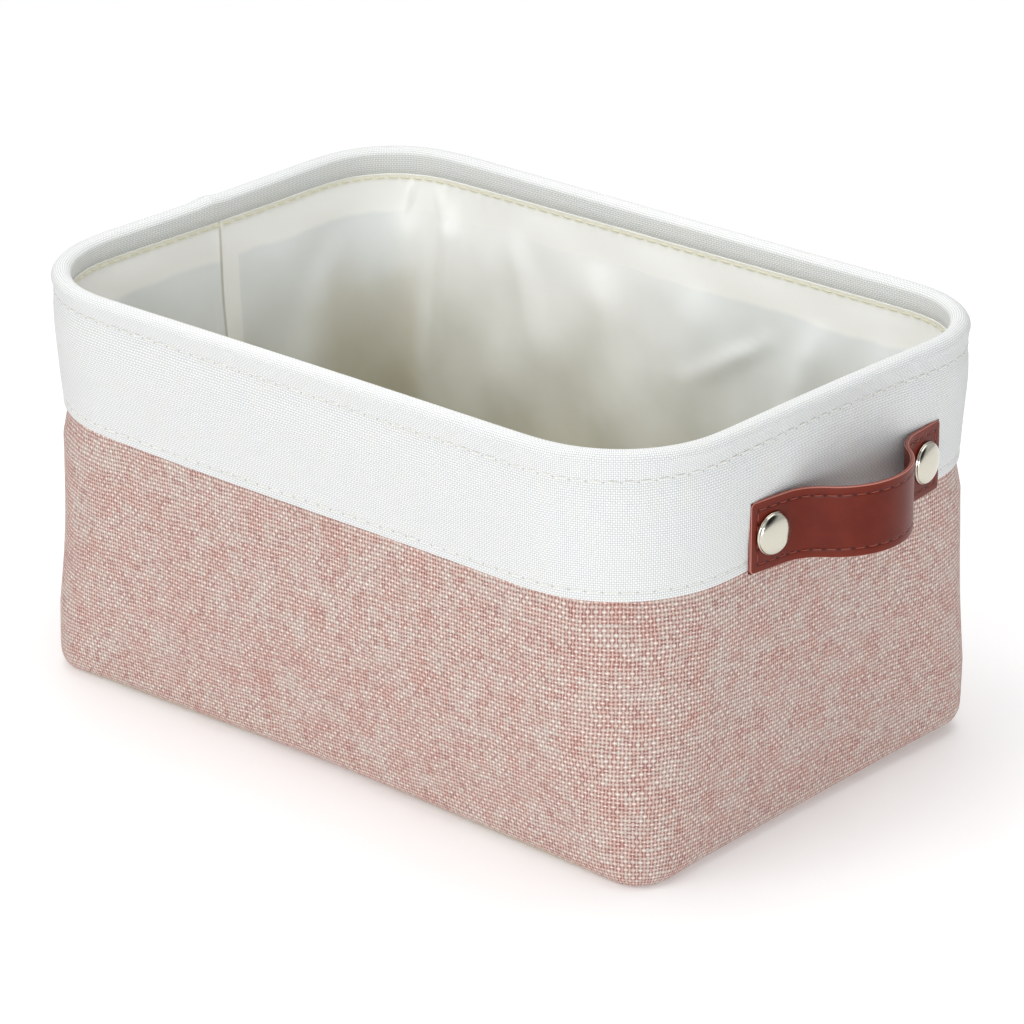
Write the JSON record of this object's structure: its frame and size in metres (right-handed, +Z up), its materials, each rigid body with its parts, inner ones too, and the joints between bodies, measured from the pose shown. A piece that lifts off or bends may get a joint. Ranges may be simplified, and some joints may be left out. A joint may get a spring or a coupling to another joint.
{
  "type": "fabric storage bin",
  "caption": "Open rectangular fabric storage bin with rounded corners, rose linen walls, a white rim band over a wire, a loose lining and a riveted leather loop handle on each end.",
  "frame": {"origin": "middle of the underside, where the base rests", "axes": "+Z up, +X along the length towards one handle, +Y along the width"},
  "size_m": [0.345, 0.2048, 0.155],
  "materials": {
    "rose_linen": "coarse plain-weave linen, mottled dusty rose yarns with off-white slubs",
    "white_cotton": "fine plain-weave white cotton, matt",
    "cream_lining": "thin smooth off-white lining cloth, slightly see-through",
    "stiffener_board": "plain greyboard",
    "steel_wire": "drawn steel wire",
    "nickel_rivet": "satin nickel plate, softly polished",
    "brown_leather": "smooth reddish-brown synthetic leather with a fine grain",
    "brown_thread": "waxed reddish-brown thread",
    "white_thread": "white cotton thread",
    "cream_thread": "cream cotton thread"
  },
  "bodies": {
    "bin": {"rim_band": "white_cotton", "outer_wall": "rose_linen", "outer_base": "rose_linen", "wall_stiffener": "stiffener_board", "base_board": "stiffener_board", "liner_wall": "cream_lining", "liner_base": "cream_lining", "rim_wire": "steel_wire", "wire_ferrule": "steel_wire", "rim_needle_thread": "white_thread", "rim_bobbin_thread": "cream_thread", "hem_needle_thread": "white_thread", "hem_bobbin_thread": "white_thread", "base_seam_thread": "white_thread", "rivet_caps_right": "nickel_rivet", "rivet_posts_right": "nickel_rivet", "rivet_washers_right": "nickel_rivet", "rivet_caps_left": "nickel_rivet", "rivet_posts_left": "nickel_rivet", "rivet_washers_left": "nickel_rivet"},
    "handle_right": {"strap_face_right": "brown_leather", "strap_backing_right": "brown_leather", "strap_thread_right": "brown_thread"},
    "handle_left": {"strap_face_left": "brown_leather", "strap_backing_left": "brown_leather", "strap_thread_left": "brown_thread"}
  },
  "joints": [
    {"name": "handle_flex_right", "type": "hinge", "parent": "bin", "child": "handle_right", "pos_m": [0.152, 0.0065, 0.1145], "axis": [0, -1, 0], "range_deg": [-40, 50], "stiffness_Nm_per_rad": 0.05, "deforming": ["strap_face_right", "strap_backing_right", "strap_thread_right"]},
    {"name": "handle_flex_left", "type": "hinge", "parent": "bin", "child": "handle_left", "pos_m": [-0.152, -0.0065, 0.1145], "axis": [0, 1, 0], "range_deg": [-40, 50], "stiffness_Nm_per_rad": 0.05, "deforming": ["strap_face_left", "strap_backing_left", "strap_thread_left"]}
  ]
}
